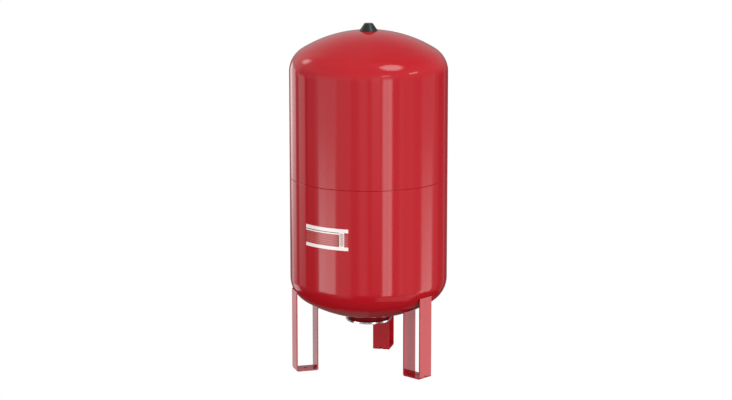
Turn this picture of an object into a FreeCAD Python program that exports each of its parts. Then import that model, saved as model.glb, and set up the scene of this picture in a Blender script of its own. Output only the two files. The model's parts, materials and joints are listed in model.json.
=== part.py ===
import FreeCAD, Part
import math
import os

# Floor-standing expansion tank for a heating system, in millimetres.
# The tank's axis is Z and the floor is z = 0. The rear leg stands towards +Y.

# Steel vessel: two dished shells, one slipped into the other half way up
tank_radius = 300.0
shell_wall = 2.0
crown_radius = 482.0
knuckle_radius = 96.0
ground_clearance = 197.2
lower_straight = 391.0
upper_straight = 403.0

# Girth seam between the shells
seam_gap = 2.4
seam_edge_chamfer = 0.8
seam_weld_recess = 0.8
lap_length = 18.0
lap_clearance = 0.15

# Legs: flat bar bent to a U in a radial plane, coped to the lower dome
leg_names = ("leg_rear", "leg_front_left", "leg_front_right")
rear_leg_angle = 90.0
strap_width = 65.0
strap_thickness = 5.0
leg_depth = 86.4
leg_inset = 3.6
bend_inner_radius = 2.0
foot_hole_radius = 7.0
dart_height = 11.0
dart_width = 15.0
leg_weld_length = 8.0
leg_weld_width = 3.5
leg_weld_end_margin = 1.0

# Bottom flange: welded collar, plated cover, bolts
collar_radius = 79.6
collar_bore_radius = 48.0
collar_height = 18.0
collar_hole_clearance = 0.2
neck_weld_leg = 2.5
collar_drop = 9.2
cover_plate_radius = 88.0
cover_plate_thickness = 8.0
cover_plate_chamfer = 1.2
bolt_count = 6
bolt_circle_radius = 65.0
bolt_radius = 4.0
bolt_length = 20.0
bolt_head_height = 5.3
bolt_head_across_flats = 13.0
bolt_head_chamfer = 1.0
bolt_chamfer_angle = 30.0
bolt_hole_clearance = 0.5
thread_clearance = 0.1
bolt_hole_extra_depth = 2.0

# Water connection: socket with a G 1 inside thread, drawn at its core diameter
socket_bore_radius = 15.15
socket_wall = 5.35
socket_length = 20.0
socket_chamfer = 1.0
socket_clearance = 0.1
socket_weld_leg = 3.0
screen_radius = 30.0
screen_thickness = 1.5
screen_hole_radius = 4.5
screen_hole_count = 4
screen_hole_circle = 9.0

# Rubber bag, as moulded, standing free of the vessel's wall
bag_side_gap = 36.0
bag_corner_gap = 13.7
bag_floor_gap = 12.0
bag_wall = 2.5
bag_straight = 740.0
bag_upper_taper = 70.0
bag_top_inset = 172.0
bag_neck_clearance = 0.3
bag_lip_radius = 57.5
bag_lip_thickness = 4.0
bag_lip_clearance = 0.2

# Gas valve boss on the upper dome
boss_radius = 17.0
boss_rise = 8.0
boss_depth = 10.0
boss_chamfer = 0.8
boss_weld_leg = 2.0

# Gas valve: brass stem, flat seal, core with sprung pin, dust cap
valve_thread_radius = 6.0
valve_spigot_length = 14.0
valve_seal_radius = 8.0
valve_seal_thickness = 1.0
valve_hex_across_flats = 15.0
valve_hex_height = 3.5
stem_radius = 3.85
stem_height = 6.7
core_bore_radius = 2.6
core_clearance = 0.05
core_depth = 0.8
core_length = 16.0
core_cavity_radius = 1.9
core_floor = 1.5
pin_radius = 0.7
pin_clearance = 0.06
pin_depth = 0.4
pin_travel = 1.2
pin_collar_radius = 1.7
pin_collar_height = 1.0
pin_collar_drop = 1.4
pin_head_radius = 1.2
pin_head_height = 0.5
plug_radius = 2.1
plug_height = 1.5
plug_gap = 0.05
plug_room = 0.8
gas_passage_radius = 1.6
spring_radius = 1.3
spring_wire = 0.4
spring_turns = 5
spring_end_gap = 0.02
dust_cap_radius = 5.0
dust_cap_clearance = 0.1
dust_cap_lift = 0.3
dust_cap_roof = 1.9
dust_cap_chamfer = 0.8
dust_seal_radius = 3.5
dust_seal_thickness = 1.0

# Push-on plastic cover over the valve
cover_base_radius = 34.5
cover_top_radius = 16.0
cover_height = 27.5
cover_wall = 2.4
cover_roof = 2.2
cover_top_chamfer = 0.8
cover_seat_gap = 0.3
cover_sleeve_wall = 1.9
cover_sleeve_clearance = 0.08
cover_sleeve_lift = 0.7

# Rating label, a film on the lower shell
label_angle = 250.6
label_arc_length = 191.6
label_height = 81.5
label_centre_height = 555.8
label_thickness = 0.15
label_glue = 0.1

# Room that cutting bodies have beyond what they cut
cut_margin = 1.0


def head_rise(side_radius, crown, knuckle):
    """Height of the knuckle's centre over the crown's centre in a dished head."""
    return math.sqrt((crown - knuckle) ** 2 - (side_radius - knuckle) ** 2)


def head_depth(side_radius, crown, knuckle):
    return crown - head_rise(side_radius, crown, knuckle)


# Heights that follow from the sizes above
lower_tangent_z = ground_clearance + head_depth(tank_radius, crown_radius, knuckle_radius)
seam_z = lower_tangent_z + lower_straight
seam_lower_z = seam_z - seam_gap / 2
seam_upper_z = seam_z + seam_gap / 2
upper_tangent_z = seam_z + upper_straight
top_pole_z = upper_tangent_z + head_depth(tank_radius, crown_radius, knuckle_radius)
plate_top_z = ground_clearance - collar_drop
plate_bottom_z = plate_top_z - cover_plate_thickness
boss_top_z = top_pole_z + boss_rise
hex_bottom_z = boss_top_z + valve_seal_thickness
hex_top_z = hex_bottom_z + valve_hex_height
stem_top_z = hex_top_z + stem_height
core_top_z = stem_top_z - core_depth
core_bottom_z = core_top_z - core_length
pin_top_z = stem_top_z - pin_depth
pin_collar_bottom_z = pin_top_z - pin_collar_drop - pin_collar_height
plug_top_z = core_bottom_z - plug_gap
plug_bottom_z = plug_top_z - plug_height
core_room_bottom_z = plug_bottom_z - pin_head_height - pin_travel - plug_room


def at(r, z):
    return FreeCAD.Vector(r, 0, z)


def line(start, end):
    return Part.LineSegment(start, end).toShape()


def arc(start, middle, end):
    return Part.Arc(start, middle, end).toShape()


def corner_arc(before, corner, after, radius):
    """Where a rounded corner starts, its middle and where it ends."""
    to_before = (before - corner).normalize()
    to_after = (after - corner).normalize()
    half_angle = to_before.getAngle(to_after) / 2
    reach = radius / math.tan(half_angle)
    bisector = (to_before + to_after).normalize()
    middle = corner + bisector * (radius / math.sin(half_angle) - radius)
    return corner + to_before * reach, middle, corner + to_after * reach


def run_through(corners, closed=False):
    """Edges through corners of (r, z) or (r, z, radius), with an arc where a radius is given."""
    points = [at(corner[0], corner[1]) for corner in corners]
    radii = [corner[2] if len(corner) > 2 else 0 for corner in corners]
    count = len(points)
    entries = list(points)
    exits = list(points)
    middles = [None] * count
    for i in range(count):
        if radii[i] > 0:
            found = corner_arc(points[i - 1], points[i], points[(i + 1) % count], radii[i])
            entries[i], middles[i], exits[i] = found
    edges = []
    for i in range(count):
        if middles[i]:
            edges.append(arc(entries[i], middles[i], exits[i]))
        if i + 1 < count or closed:
            edges.append(line(exits[i], entries[(i + 1) % count]))
    return edges


def parallel(corners, distance):
    """Corners of the line that runs that far to the left of an open line of corners."""
    points = [at(r, z) for r, z in corners]
    steps = [(end - start).normalize() for start, end in zip(points, points[1:])]
    lefts = [at(-step.z, step.x) for step in steps]
    moved = [points[0] + lefts[0] * distance]
    for i in range(1, len(steps)):
        bisector = lefts[i - 1] + lefts[i]
        moved.append(points[i] + bisector * (2 * distance / bisector.dot(bisector)))
    moved.append(points[-1] + lefts[-1] * distance)
    return [(point.x, point.z) for point in moved]


def turned(edges):
    """Solid of revolution round the tank's axis."""
    face = Part.Face(Part.Wire(edges))
    solid = face.revolve(FreeCAD.Vector(0, 0, 0), FreeCAD.Vector(0, 0, 1), 360)
    return solid


def turned_corners(corners):
    return turned(run_through(corners, closed=True))


def ring(inner_radius, outer_radius, bottom_z, top_z):
    return turned_corners([
        (inner_radius, bottom_z),
        (outer_radius, bottom_z),
        (outer_radius, top_z),
        (inner_radius, top_z),
    ])


def rod(radius, bottom_z, top_z, x=0.0, y=0.0):
    return Part.makeCylinder(radius, top_z - bottom_z, FreeCAD.Vector(x, y, bottom_z))


def spread(count, radius):
    """Places of count points on a circle, the first towards +X."""
    angles = [2 * math.pi * i / count for i in range(count)]
    return [(radius * math.cos(angle), radius * math.sin(angle)) for angle in angles]


def hexagon_corner_radius(across_flats):
    return across_flats / 2 / math.cos(math.pi / 6)


def hexagon(across_flats, bottom_z, height, x=0.0, y=0.0):
    places = spread(6, hexagon_corner_radius(across_flats))
    corners = [FreeCAD.Vector(x + corner_x, y + corner_y, bottom_z) for corner_x, corner_y in places]
    face = Part.Face(Part.makePolygon(corners + corners[:1]))
    return face.extrude(FreeCAD.Vector(0, 0, height))


def turned_about_axis(shape, degrees):
    copy = shape.copy()
    copy.rotate(FreeCAD.Vector(0, 0, 0), FreeCAD.Vector(0, 0, 1), degrees)
    return copy


class DishedHead:
    """A dished end: a spherical crown that runs into the side through a knuckle arc."""

    def __init__(self, side_radius, crown, knuckle, tangent_z, up):
        self.side_radius = side_radius
        self.crown = crown
        self.knuckle = knuckle
        self.tangent_z = tangent_z
        self.up = up
        self.rise = head_rise(side_radius, crown, knuckle)
        self.crown_z = tangent_z - up * self.rise
        self.junction_angle = math.atan2(self.rise, side_radius - knuckle)
        self.junction_radius = crown * math.cos(self.junction_angle)

    def inside(self, wall):
        """The parallel head one wall further in."""
        sizes = [size - wall for size in (self.side_radius, self.crown, self.knuckle)]
        return DishedHead(*sizes, self.tangent_z, self.up)

    def on_crown(self, r):
        return at(r, self.crown_z + self.up * math.sqrt(self.crown ** 2 - r ** 2))

    def on_knuckle(self, angle):
        r = self.side_radius - self.knuckle + self.knuckle * math.cos(angle)
        return at(r, self.tangent_z + self.up * self.knuckle * math.sin(angle))

    def surface_z(self, r):
        """Height of the head's surface at radius r."""
        if r < self.junction_radius:
            return self.on_crown(r).z
        return self.on_knuckle(math.acos((r - self.side_radius + self.knuckle) / self.knuckle)).z

    def crown_arc(self, start_radius, end_radius):
        middle = (start_radius + end_radius) / 2
        return arc(self.on_crown(start_radius), self.on_crown(middle), self.on_crown(end_radius))

    def outwards(self, start_radius):
        """Edges from start_radius on the crown out to the tangent line."""
        angle = self.junction_angle
        knuckle = arc(self.on_knuckle(angle), self.on_knuckle(angle / 2), self.on_knuckle(0))
        return [self.crown_arc(start_radius, self.junction_radius), knuckle]

    def inwards(self, end_radius):
        """Edges from the tangent line in to end_radius on the crown."""
        angle = self.junction_angle
        knuckle = arc(self.on_knuckle(0), self.on_knuckle(angle / 2), self.on_knuckle(angle))
        return [knuckle, self.crown_arc(self.junction_radius, end_radius)]


bottom_head = DishedHead(tank_radius, crown_radius, knuckle_radius, lower_tangent_z, -1)
top_head = DishedHead(tank_radius, crown_radius, knuckle_radius, upper_tangent_z, 1)


def upper_shell():
    """Deep-drawn upper half, with the hole for the valve boss."""
    hole_radius = boss_radius + collar_hole_clearance
    inner_head = top_head.inside(shell_wall)
    inner_radius = tank_radius - shell_wall
    edges = top_head.inwards(hole_radius)
    edges.append(line(top_head.on_crown(hole_radius), inner_head.on_crown(hole_radius)))
    edges += inner_head.outwards(hole_radius)
    rim = [
        (inner_radius, upper_tangent_z),
        (inner_radius, seam_upper_z),
        (tank_radius - seam_edge_chamfer, seam_upper_z),
        (tank_radius, seam_upper_z + seam_edge_chamfer),
        (tank_radius, upper_tangent_z),
    ]
    return turned(edges + run_through(rim))


def lower_shell():
    """Deep-drawn lower half, with the hole for the collar and a joggled rim that fits in the upper half."""
    hole_radius = collar_radius + collar_hole_clearance
    inner_head = bottom_head.inside(shell_wall)
    lap_radius = tank_radius - shell_wall - lap_clearance
    outer_rim = [
        (tank_radius, lower_tangent_z),
        (tank_radius, seam_lower_z),
        (lap_radius, seam_upper_z),
        (lap_radius, seam_upper_z + lap_length),
    ]
    inner_rim = parallel(outer_rim, shell_wall)
    edges = bottom_head.outwards(hole_radius)
    edges += run_through(outer_rim + inner_rim[::-1])
    edges += inner_head.inwards(hole_radius)
    edges.append(line(inner_head.on_crown(hole_radius), bottom_head.on_crown(hole_radius)))
    return turned(edges)


def seam_weld():
    """Weld bead in the groove between the shells, a little below their surface."""
    weld_radius = tank_radius - seam_weld_recess
    lap_radius = tank_radius - shell_wall - lap_clearance
    start = seam_weld_recess / (tank_radius - lap_radius)
    return turned_corners([
        (weld_radius, seam_lower_z + start * seam_gap),
        (lap_radius, seam_upper_z),
        (weld_radius, seam_upper_z),
    ])


def fillet_weld(head, radius, leg):
    """Fillet weld round a boss of that radius, on the outside of a head."""
    foot_z = head.surface_z(radius)
    return turned_corners([
        (radius, foot_z),
        (radius + leg, head.surface_z(radius + leg)),
        (radius, foot_z + head.up * leg),
    ])


def lower_dome_envelope():
    """Everything inside the lower dome's outer surface, which the legs are coped to."""
    side_and_axis = [
        (tank_radius, lower_tangent_z),
        (tank_radius, seam_lower_z),
        (0, seam_lower_z),
        (0, bottom_head.surface_z(0)),
    ]
    return turned(bottom_head.outwards(0) + run_through(side_and_axis))


def dart_cut(corner_radius, side):
    """V-shaped dent pressed into the outside of a bend. side is 1 at the outer strap, -1 at the inner."""
    along = FreeCAD.Vector(-side, 0, -1).normalize()
    outwards = FreeCAD.Vector(side, 0, -1).normalize()
    across = FreeCAD.Vector(0, 1, 0)
    depth = dart_height / math.sqrt(2)
    reach = depth + cut_margin
    half_width = dart_width / 2 * reach / depth
    start = at(corner_radius, dart_height) - along * cut_margin
    left = start + outwards * reach + across * half_width
    right = start + outwards * reach - across * half_width
    face = Part.Face(Part.makePolygon([start, left, right, start]))
    return face.extrude(along * (dart_height * math.sqrt(2) + 2 * cut_margin))


def dart_ridge(corner_radius, side):
    """The same dent where it stands out inside the bend, one sheet thickness further in."""
    inner_height = dart_height - (2 - math.sqrt(2)) * strap_thickness
    wall_radius = corner_radius - side * (strap_thickness - cut_margin)
    base_z = strap_thickness - cut_margin
    reach = inner_height + 2 * cut_margin
    half_width = dart_width / 2 * reach / dart_height
    top = at(wall_radius, base_z + reach)
    tip = at(wall_radius - side * reach, base_z)
    left = FreeCAD.Vector(wall_radius, half_width, base_z)
    right = FreeCAD.Vector(wall_radius, -half_width, base_z)
    faces = []
    for a, b, c in ((top, left, tip), (top, tip, right), (top, right, left), (left, right, tip)):
        faces.append(Part.Face(Part.makePolygon([a, b, c, a])))
    return Part.Solid(Part.Shell(faces))


def leg(degrees, envelope):
    """A bar bent to a U, with a foot hole, darts in both bends and its ends coped to the dome."""
    outer = tank_radius - leg_inset
    inner = outer - leg_depth
    bend = bend_inner_radius + strap_thickness
    top_z = bottom_head.surface_z(math.hypot(outer - strap_thickness, strap_width / 2))
    outline = [
        (outer, top_z),
        (outer, 0, bend),
        (inner, 0, bend),
        (inner, top_z),
        (inner + strap_thickness, top_z),
        (inner + strap_thickness, strap_thickness, bend_inner_radius),
        (outer - strap_thickness, strap_thickness, bend_inner_radius),
        (outer - strap_thickness, top_z),
    ]
    face = Part.Face(Part.Wire(run_through(outline, closed=True)))
    face.translate(FreeCAD.Vector(0, -strap_width / 2, 0))
    bar = face.extrude(FreeCAD.Vector(0, strap_width, 0))
    for corner_radius, side in ((outer, 1), (inner, -1)):
        bar = bar.fuse(dart_ridge(corner_radius, side))
        bar = bar.cut(dart_cut(corner_radius, side))
    bar = bar.cut(rod(foot_hole_radius, -cut_margin, strap_thickness + cut_margin, x=(outer + inner) / 2))
    bar = bar.removeSplitter().cut(envelope)
    return turned_about_axis(bar, degrees)


def leg_weld_beads(degrees, envelope):
    """Fillet welds behind the two ends of a leg, on the side that faces the tank's axis."""
    outer = tank_radius - leg_inset
    inner = outer - leg_depth
    beads = []
    for face_radius in (outer - strap_thickness, inner):
        contact_z = bottom_head.surface_z(face_radius)
        toe_radius = face_radius - leg_weld_width
        outline = [
            (face_radius, contact_z - leg_weld_length),
            (face_radius, contact_z + leg_weld_length),
            (toe_radius, contact_z + leg_weld_length),
            (toe_radius, bottom_head.surface_z(toe_radius)),
        ]
        face = Part.Face(Part.Wire(run_through(outline, closed=True)))
        width = strap_width - 2 * leg_weld_end_margin
        face.translate(FreeCAD.Vector(0, -width / 2, 0))
        bead = face.extrude(FreeCAD.Vector(0, width, 0)).cut(envelope)
        beads.append(turned_about_axis(bead, degrees))
    return beads


def neck_collar():
    """Thick ring through the lower dome, with a seat for the bag's lip and tapped holes."""
    seat_radius = bag_lip_radius + bag_lip_clearance
    collar = turned_corners([
        (collar_bore_radius, plate_top_z + bag_lip_thickness),
        (seat_radius, plate_top_z + bag_lip_thickness),
        (seat_radius, plate_top_z),
        (collar_radius, plate_top_z),
        (collar_radius, plate_top_z + collar_height),
        (collar_bore_radius, plate_top_z + collar_height),
    ])
    depth = bolt_length - cover_plate_thickness + bolt_hole_extra_depth
    for x, y in spread(bolt_count, bolt_circle_radius):
        tapped = rod(bolt_radius + thread_clearance, plate_top_z - cut_margin, plate_top_z + depth, x, y)
        collar = collar.cut(tapped)
    return collar


def flange_cover():
    """Round plated plate that closes the collar and carries the water connection."""
    hole_radius = socket_bore_radius + socket_wall + socket_clearance
    plate = turned_corners([
        (hole_radius, plate_bottom_z),
        (cover_plate_radius - cover_plate_chamfer, plate_bottom_z),
        (cover_plate_radius, plate_bottom_z + cover_plate_chamfer),
        (cover_plate_radius, plate_top_z - cover_plate_chamfer),
        (cover_plate_radius - cover_plate_chamfer, plate_top_z),
        (hole_radius, plate_top_z),
    ])
    bolt_hole_radius = bolt_radius + bolt_hole_clearance
    for x, y in spread(bolt_count, bolt_circle_radius):
        hole = rod(bolt_hole_radius, plate_bottom_z - cut_margin, plate_top_z + cut_margin, x, y)
        plate = plate.cut(hole)
    return plate


def flange_bolt(x, y):
    """Hexagon bolt from below, with the corners of its head chamfered."""
    head_bottom_z = plate_bottom_z - bolt_head_height
    face_radius = hexagon_corner_radius(bolt_head_across_flats) - bolt_head_chamfer
    chamfer_cone = Part.makeCone(
        face_radius,
        face_radius + bolt_head_height / math.tan(math.radians(bolt_chamfer_angle)),
        bolt_head_height,
        FreeCAD.Vector(x, y, head_bottom_z),
    )
    head = hexagon(bolt_head_across_flats, head_bottom_z, bolt_head_height, x, y).common(chamfer_cone)
    shank = rod(bolt_radius, plate_bottom_z - cut_margin, plate_bottom_z + bolt_length, x, y)
    return head.fuse(shank).removeSplitter()


def connection_socket():
    outer_radius = socket_bore_radius + socket_wall
    bottom_z = plate_top_z - socket_length
    return turned_corners([
        (socket_bore_radius, bottom_z + socket_chamfer),
        (socket_bore_radius + socket_chamfer, bottom_z),
        (outer_radius, bottom_z),
        (outer_radius, plate_top_z),
        (socket_bore_radius, plate_top_z),
    ])


def socket_weld():
    radius = socket_bore_radius + socket_wall
    return turned_corners([
        (radius, plate_bottom_z),
        (radius + socket_weld_leg, plate_bottom_z),
        (radius, plate_bottom_z - socket_weld_leg),
    ])


def inlet_screen():
    """Perforated disc over the socket, which keeps the empty bag out of the pipe."""
    top_z = plate_top_z + screen_thickness
    disc = rod(screen_radius, plate_top_z, top_z)
    for x, y in spread(screen_hole_count, screen_hole_circle):
        disc = disc.cut(rod(screen_hole_radius, plate_top_z - cut_margin, top_z + cut_margin, x, y))
    return disc


def bladder():
    """Rubber bag with tapered ends, a neck through the collar and a lip that the cover plate clamps."""
    side_radius = tank_radius - shell_wall - bag_side_gap
    floor_z = ground_clearance + shell_wall + bag_floor_gap
    side_bottom_z = bottom_head.inside(shell_wall).surface_z(side_radius) + bag_corner_gap
    top_z = side_bottom_z + bag_straight + bag_upper_taper
    top_radius = side_radius - bag_top_inset
    neck_radius = collar_bore_radius - bag_neck_clearance
    lip_top_z = plate_top_z + bag_lip_thickness
    outside = [
        (neck_radius, lip_top_z),
        (neck_radius, floor_z),
        (side_radius, side_bottom_z),
        (side_radius, side_bottom_z + bag_straight),
        (top_radius, top_z),
        (0, top_z),
    ]
    inside = parallel(outside, bag_wall)[:0:-1]
    lip = [(neck_radius - bag_wall, plate_top_z), (bag_lip_radius, plate_top_z), (bag_lip_radius, lip_top_z)]
    return turned_corners(lip + outside + inside)


def valve_boss():
    """Turned steel boss through the top of the upper dome."""
    bore_radius = valve_thread_radius + thread_clearance
    return turned_corners([
        (bore_radius, top_pole_z - boss_depth),
        (boss_radius, top_pole_z - boss_depth),
        (boss_radius, boss_top_z - boss_chamfer),
        (boss_radius - boss_chamfer, boss_top_z),
        (bore_radius, boss_top_z),
    ])


def valve_stem():
    """Brass valve body: spigot in the boss, hexagon, and stem with the bore for the core."""
    bottom_z = boss_top_z - valve_spigot_length
    spigot = rod(valve_thread_radius, bottom_z, hex_bottom_z + cut_margin)
    nut = hexagon(valve_hex_across_flats, hex_bottom_z, valve_hex_height)
    stem = rod(stem_radius, hex_top_z - cut_margin, stem_top_z)
    body = spigot.fuse(nut).fuse(stem)
    body = body.cut(rod(core_bore_radius, core_room_bottom_z, stem_top_z + cut_margin))
    body = body.cut(rod(gas_passage_radius, bottom_z - cut_margin, core_room_bottom_z + cut_margin))
    return body.removeSplitter()


def valve_seal():
    return ring(valve_thread_radius + thread_clearance, valve_seal_radius, boss_top_z, hex_bottom_z)


def valve_core():
    """Barrel screwed into the stem, with a floor that the pin passes through."""
    outer_radius = core_bore_radius - core_clearance
    guide_radius = pin_radius + pin_clearance
    return turned_corners([
        (guide_radius, core_bottom_z),
        (outer_radius, core_bottom_z),
        (outer_radius, core_top_z),
        (core_cavity_radius, core_top_z),
        (core_cavity_radius, core_bottom_z + core_floor),
        (guide_radius, core_bottom_z + core_floor),
    ])


def core_pin():
    """Pin with a collar for the spring at its top and a small head under the rubber plug."""
    head_bottom_z = plug_bottom_z - pin_head_height
    collar_top_z = pin_collar_bottom_z + pin_collar_height
    return turned_corners([
        (0, head_bottom_z),
        (pin_head_radius, head_bottom_z),
        (pin_head_radius, plug_bottom_z),
        (pin_radius, plug_bottom_z),
        (pin_radius, pin_collar_bottom_z),
        (pin_collar_radius, pin_collar_bottom_z),
        (pin_collar_radius, collar_top_z),
        (pin_radius, collar_top_z),
        (pin_radius, pin_top_z),
        (0, pin_top_z),
    ])


def core_plug():
    """Rubber plug on the pin, which closes the core's floor from below."""
    return ring(pin_radius, plug_radius, plug_bottom_z, plug_top_z)


def core_spring():
    """Compression spring between the core's floor and the pin's collar."""
    half = spring_wire / 2
    start_z = core_bottom_z + core_floor + spring_end_gap + half
    height = pin_collar_bottom_z - spring_end_gap - half - start_z
    helix = Part.makeHelix(height / spring_turns, height, spring_radius)
    section = run_through([
        (spring_radius - half, -half),
        (spring_radius + half, -half),
        (spring_radius + half, half),
        (spring_radius - half, half),
    ], closed=True)
    coil = Part.Wire(helix.Edges).makePipeShell([Part.Wire(section)], True, True)
    coil.translate(FreeCAD.Vector(0, 0, start_z))
    return coil


def dust_cap():
    """Small screw cap on the stem, hollow up to its seal."""
    bottom_z = hex_top_z + dust_cap_lift
    ceiling_z = stem_top_z + dust_seal_thickness
    top_z = ceiling_z + dust_cap_roof
    bore_radius = stem_radius + dust_cap_clearance
    return turned_corners([
        (bore_radius, bottom_z),
        (dust_cap_radius, bottom_z),
        (dust_cap_radius, top_z - dust_cap_chamfer),
        (dust_cap_radius - dust_cap_chamfer, top_z),
        (0, top_z),
        (0, ceiling_z),
        (bore_radius, ceiling_z),
    ])


def dust_cap_seal():
    return rod(dust_seal_radius, stem_top_z, stem_top_z + dust_seal_thickness)


def valve_cover():
    """Hollow cone with an inner sleeve that pushes over the boss."""
    base_z = top_head.surface_z(cover_base_radius - cover_wall) + cover_seat_gap
    top_z = base_z + cover_height
    roof_z = top_z - cover_roof
    slope = (cover_base_radius - cover_top_radius) / cover_height
    inner_base_radius = cover_base_radius - cover_wall

    def inner_cone_z(radius):
        return base_z + (inner_base_radius - radius) / slope

    sleeve_inner = boss_radius + cover_sleeve_clearance
    sleeve_outer = sleeve_inner + cover_sleeve_wall
    sleeve_bottom_z = top_head.surface_z(boss_radius) + boss_weld_leg + cover_sleeve_lift
    return turned_corners([
        (cover_base_radius, base_z),
        (cover_top_radius + slope * cover_top_chamfer, top_z - cover_top_chamfer),
        (cover_top_radius - cover_top_chamfer, top_z),
        (0, top_z),
        (0, roof_z),
        (inner_base_radius - (roof_z - base_z) * slope, roof_z),
        (sleeve_inner, inner_cone_z(sleeve_inner)),
        (sleeve_inner, sleeve_bottom_z),
        (sleeve_outer, sleeve_bottom_z),
        (sleeve_outer, inner_cone_z(sleeve_outer)),
        (inner_base_radius, base_z),
    ])


def rating_label():
    """Film stuck on the lower shell's straight side."""
    bottom_z = label_centre_height - label_height / 2
    inner_radius = tank_radius + label_glue
    outline = [
        (inner_radius, bottom_z),
        (inner_radius + label_thickness, bottom_z),
        (inner_radius + label_thickness, bottom_z + label_height),
        (inner_radius, bottom_z + label_height),
    ]
    degrees = math.degrees(label_arc_length / tank_radius)
    face = Part.Face(Part.Wire(run_through(outline, closed=True)))
    film = face.revolve(FreeCAD.Vector(0, 0, 0), FreeCAD.Vector(0, 0, 1), degrees)
    return turned_about_axis(film, label_angle - degrees / 2)


def export(node, shape):
    """Writes one node, after a check that its solids are sound."""
    solids = shape.Solids
    if not solids or not shape.isValid():
        raise ValueError(node + " is not a valid solid")
    shape = Part.makeCompound(solids) if len(solids) > 1 else solids[0]
    shape.exportStep("parts/" + node + ".step")
    print(node, len(solids), "solid(s),", round(shape.Volume / 1000, 2), "cm3")


def main():
    os.makedirs("parts", exist_ok=True)
    envelope = lower_dome_envelope()
    beads = []
    for i, node in enumerate(leg_names):
        degrees = rear_leg_angle + 360 * i / len(leg_names)
        export(node, leg(degrees, envelope))
        beads += leg_weld_beads(degrees, envelope)
    export("leg_welds", Part.makeCompound(beads))
    export("upper_shell", upper_shell())
    export("lower_shell", lower_shell())
    export("seam_weld", seam_weld())
    export("rating_label", rating_label())
    export("neck_collar", neck_collar())
    export("neck_weld", fillet_weld(bottom_head, collar_radius, neck_weld_leg))
    export("flange_cover", flange_cover())
    bolts = [flange_bolt(x, y) for x, y in spread(bolt_count, bolt_circle_radius)]
    export("flange_bolts", Part.makeCompound(bolts))
    export("connection_socket", connection_socket())
    export("socket_weld", socket_weld())
    export("inlet_screen", inlet_screen())
    export("bladder", bladder())
    export("valve_boss", valve_boss())
    export("boss_weld", fillet_weld(top_head, boss_radius, boss_weld_leg))
    export("valve_stem", valve_stem())
    export("valve_seal", valve_seal())
    export("valve_core", valve_core())
    export("core_pin", core_pin())
    export("core_plug", core_plug())
    export("core_spring", core_spring())
    export("dust_cap", dust_cap())
    export("dust_cap_seal", dust_cap_seal())
    export("valve_cover", valve_cover())


main()
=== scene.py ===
# %% [markdown]
# # Expansion tank
# The real thing is a red steel vessel on three bent legs. It stands beside a
# boiler and gives the heating water somewhere to go when it grows warm. This
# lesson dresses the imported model: every shape is worked out with numpy as a
# surface over two parameters, and every finish is made of shader nodes.

import json
import math

import bmesh
import bpy
import numpy as np
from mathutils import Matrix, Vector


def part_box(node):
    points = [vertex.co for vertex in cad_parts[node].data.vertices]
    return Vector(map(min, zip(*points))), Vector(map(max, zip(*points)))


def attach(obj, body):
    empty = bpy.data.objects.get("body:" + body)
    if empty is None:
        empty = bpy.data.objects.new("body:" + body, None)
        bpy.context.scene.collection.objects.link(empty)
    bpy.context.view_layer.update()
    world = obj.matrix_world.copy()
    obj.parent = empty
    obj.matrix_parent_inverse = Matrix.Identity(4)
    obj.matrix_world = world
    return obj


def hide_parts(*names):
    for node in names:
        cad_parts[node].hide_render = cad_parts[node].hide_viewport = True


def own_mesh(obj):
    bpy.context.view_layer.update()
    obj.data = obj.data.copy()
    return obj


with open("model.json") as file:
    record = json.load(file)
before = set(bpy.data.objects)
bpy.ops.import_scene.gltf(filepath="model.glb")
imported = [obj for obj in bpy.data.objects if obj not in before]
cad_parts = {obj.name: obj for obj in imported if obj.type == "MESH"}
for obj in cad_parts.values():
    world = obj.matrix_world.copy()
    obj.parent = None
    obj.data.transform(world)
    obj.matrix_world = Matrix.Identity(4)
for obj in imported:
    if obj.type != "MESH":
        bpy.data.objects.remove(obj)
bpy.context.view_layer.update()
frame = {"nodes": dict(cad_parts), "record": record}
bodies = frame["record"]["behaviour"]["bodies"]

# %% [markdown]
# All sizes below are in millimetres, as on a workshop drawing, and a mesh is
# brought to metres when it is made. The tank's axis is Z, the floor is z = 0.
# The vessel comes first, because legs, neck and valve all sit on its curve.

# %% Sizes of the vessel
MM = 0.001
TANK_RADIUS = 300.0
WALL = 2.0
CROWN_RADIUS = 482.0
KNUCKLE_RADIUS = 96.0
LOWER_SIDE, UPPER_SIDE = 391.0, 403.0
SEAM_GAP = 2.4
COLLAR_HOLE = 79.8
BOSS_HOLE = 17.2


def head_sizes(wall):
    """Side, crown and knuckle radius of the dished head that lies one wall further in.

    The fourth number is the radius where crown and knuckle meet: the line
    through both centres crosses them there.
    """
    side, crown, knuckle = TANK_RADIUS - wall, CROWN_RADIUS - wall, KNUCKLE_RADIUS - wall
    return side, crown, knuckle, crown * (side - knuckle) / (crown - knuckle)


def head_height(r, wall=0.0):
    """How far a dished head rises past its tangent line at radius r.

    Near the side it is the knuckle's circle, and further in the crown's.
    """
    side, crown, knuckle, junction = head_sizes(wall)
    r = np.asarray(r, float)
    rise = math.sqrt((crown - knuckle) ** 2 - (side - knuckle) ** 2)
    on_crown = np.sqrt(np.maximum(crown ** 2 - r ** 2, 0)) - rise
    on_knuckle = np.sqrt(np.maximum(knuckle ** 2 - (r - side + knuckle) ** 2, 0))
    return np.where(r < junction, on_crown, on_knuckle)


LOWER_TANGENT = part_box("lower_shell")[0].z / MM + head_height(COLLAR_HOLE)
SEAM = LOWER_TANGENT + LOWER_SIDE
UPPER_TANGENT = SEAM + UPPER_SIDE
TOP_POLE = UPPER_TANGENT + head_height(0)
BOTTOM_POLE = LOWER_TANGENT - head_height(0)
print("tangent lines", round(LOWER_TANGENT, 2), round(UPPER_TANGENT, 2))
print("poles", round(BOTTOM_POLE, 2), round(TOP_POLE, 2), "seam", round(SEAM, 2))


def low_dome(r, wall=0.0):
    """Height over the floor of the bottom dome at radius r."""
    return LOWER_TANGENT - head_height(r, wall)


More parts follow.
